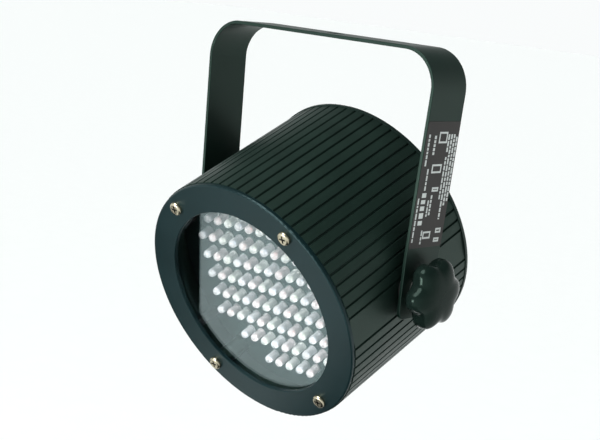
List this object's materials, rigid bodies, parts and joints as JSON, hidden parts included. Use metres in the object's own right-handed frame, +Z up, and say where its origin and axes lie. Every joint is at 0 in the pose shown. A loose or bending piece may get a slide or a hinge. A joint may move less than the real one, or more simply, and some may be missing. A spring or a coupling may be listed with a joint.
{
  "type": "par can light",
  "caption": "Short ribbed round stage light with a ring of screws round a clear window over rows of diodes, tilting in a flat U-shaped yoke with lobed clamp knobs.",
  "frame": {"origin": "centre of the bolt hole in the top of the yoke, on its upper face", "axes": "+Z up, out of the bolt hole; +X along the tilt axis; the lamp looks along -Y, nose tipped down"},
  "size_m": [0.197, 0.164, 0.2223],
  "materials": {
    "housing_black": "satin black anodised extrusion, ribbed",
    "ring_black": "satin black paint",
    "yoke_black": "satin black powder coat",
    "screw_nickel": "nickel plated",
    "window_clear": "clear, glossy",
    "seal_black": "matt",
    "board_green": "coated board",
    "led_red": "water clear epoxy",
    "led_green": "water clear epoxy",
    "led_blue": "water clear epoxy",
    "spacer_zinc": "zinc plated",
    "spacer_black": "moulded nylon",
    "carrier_aluminium": "plain sheet",
    "chip_black": "moulded",
    "transformer_yellow": "taped winding on a ferrite core",
    "capacitor_sleeve": "shrink sleeve",
    "terminal_grey": "moulded",
    "fuse_glass": "glass with metal caps",
    "socket_black": "moulded, matt",
    "contact_nickel": "plated",
    "latch_steel": "plated",
    "switch_blue": "moulded",
    "slider_white": "moulded",
    "gland_black": "moulded nylon",
    "label_dark": "printed film",
    "insert_zinc": "zinc plated",
    "disc_rubber": "matt",
    "washer_zinc": "zinc plated",
    "stud_zinc": "zinc plated thread",
    "knob_black": "gloss black moulding"
  },
  "bodies": {
    "yoke": {"yoke": "yoke_black", "rating_label": "label_dark", "friction_discs": "disc_rubber", "steel_washers": "washer_zinc"},
    "lamp": {"board_screws": "screw_nickel", "capacitors": "capacitor_sleeve", "carrier_plate": "carrier_aluminium", "control_board": "board_green", "control_chips": "chip_black", "eye_nut": "screw_nickel", "eye_screw": "screw_nickel", "front_ring": "ring_black", "front_screws": "screw_nickel", "front_spacers": "spacer_black", "fuse": "fuse_glass", "fuse_clips": "spacer_zinc", "gland_body": "gland_black", "gland_cap": "gland_black", "gland_nut": "gland_black", "housing": "housing_black", "input_pins": "contact_nickel", "input_socket": "socket_black", "led_board": "board_green", "leds_blue": "led_blue", "leds_green": "led_green", "leds_red": "led_red", "output_core": "socket_black", "output_socket": "socket_black", "pivot_inserts": "insert_zinc", "power_board": "board_green", "power_spacers": "spacer_zinc", "rear_cover": "ring_black", "rear_screws": "screw_nickel", "rear_spacers": "spacer_zinc", "safety_eye": "spacer_zinc", "socket_nuts": "screw_nickel", "socket_screws": "screw_nickel", "switch_board": "board_green", "switch_body": "switch_blue", "switch_screws": "screw_nickel", "switch_spacers": "spacer_zinc", "terminal_block": "terminal_grey", "transformer": "transformer_yellow", "window_pane": "window_clear", "window_seal": "seal_black"},
    "knob_left": {"knob_left": "knob_black", "stud_left": "stud_zinc"},
    "knob_right": {"knob_right": "knob_black", "stud_right": "stud_zinc"},
    "latch": {"output_latch": "latch_steel"},
    "slider_1": {"switch_slider_1": "slider_white"},
    "slider_2": {"switch_slider_2": "slider_white"},
    "slider_3": {"switch_slider_3": "slider_white"},
    "slider_4": {"switch_slider_4": "slider_white"},
    "slider_5": {"switch_slider_5": "slider_white"},
    "slider_6": {"switch_slider_6": "slider_white"},
    "slider_7": {"switch_slider_7": "slider_white"},
    "slider_8": {"switch_slider_8": "slider_white"},
    "slider_9": {"switch_slider_9": "slider_white"},
    "slider_10": {"switch_slider_10": "slider_white"}
  },
  "joints": [
    {"name": "tilt", "type": "hinge", "parent": "yoke", "child": "lamp", "pos_m": [0, 0, -0.132], "axis": [1, 0, 0], "range_deg": [-115, 115]},
    {"name": "knob_left_turn", "type": "hinge", "parent": "lamp", "child": "knob_left", "pos_m": [-0.09, 0, -0.132], "axis": [-1, 0, 0], "range_deg": [0, 360]},
    {"name": "knob_right_turn", "type": "hinge", "parent": "lamp", "child": "knob_right", "pos_m": [0.09, 0, -0.132], "axis": [1, 0, 0], "range_deg": [0, 360]},
    {"name": "latch_press", "type": "slide", "parent": "lamp", "child": "latch", "axis": [0, -0.9078, -0.4195], "range_m": [0, 0.0015], "stiffness_N_per_m": 300, "springref_m": -0.001},
    {"name": "slider_1_set", "type": "slide", "parent": "lamp", "child": "slider_1", "axis": [0, -0.4195, 0.9078], "range_m": [0, 0.002]},
    {"name": "slider_2_set", "type": "slide", "parent": "lamp", "child": "slider_2", "axis": [0, -0.4195, 0.9078], "range_m": [0, 0.002]},
    {"name": "slider_3_set", "type": "slide", "parent": "lamp", "child": "slider_3", "axis": [0, -0.4195, 0.9078], "range_m": [0, 0.002]},
    {"name": "slider_4_set", "type": "slide", "parent": "lamp", "child": "slider_4", "axis": [0, -0.4195, 0.9078], "range_m": [0, 0.002]},
    {"name": "slider_5_set", "type": "slide", "parent": "lamp", "child": "slider_5", "axis": [0, -0.4195, 0.9078], "range_m": [0, 0.002]},
    {"name": "slider_6_set", "type": "slide", "parent": "lamp", "child": "slider_6", "axis": [0, -0.4195, 0.9078], "range_m": [0, 0.002]},
    {"name": "slider_7_set", "type": "slide", "parent": "lamp", "child": "slider_7", "axis": [0, -0.4195, 0.9078], "range_m": [0, 0.002]},
    {"name": "slider_8_set", "type": "slide", "parent": "lamp", "child": "slider_8", "axis": [0, -0.4195, 0.9078], "range_m": [0, 0.002]},
    {"name": "slider_9_set", "type": "slide", "parent": "lamp", "child": "slider_9", "axis": [0, -0.4195, 0.9078], "range_m": [0, 0.002]},
    {"name": "slider_10_set", "type": "slide", "parent": "lamp", "child": "slider_10", "axis": [0, -0.4195, 0.9078], "range_m": [0, 0.002]}
  ]
}
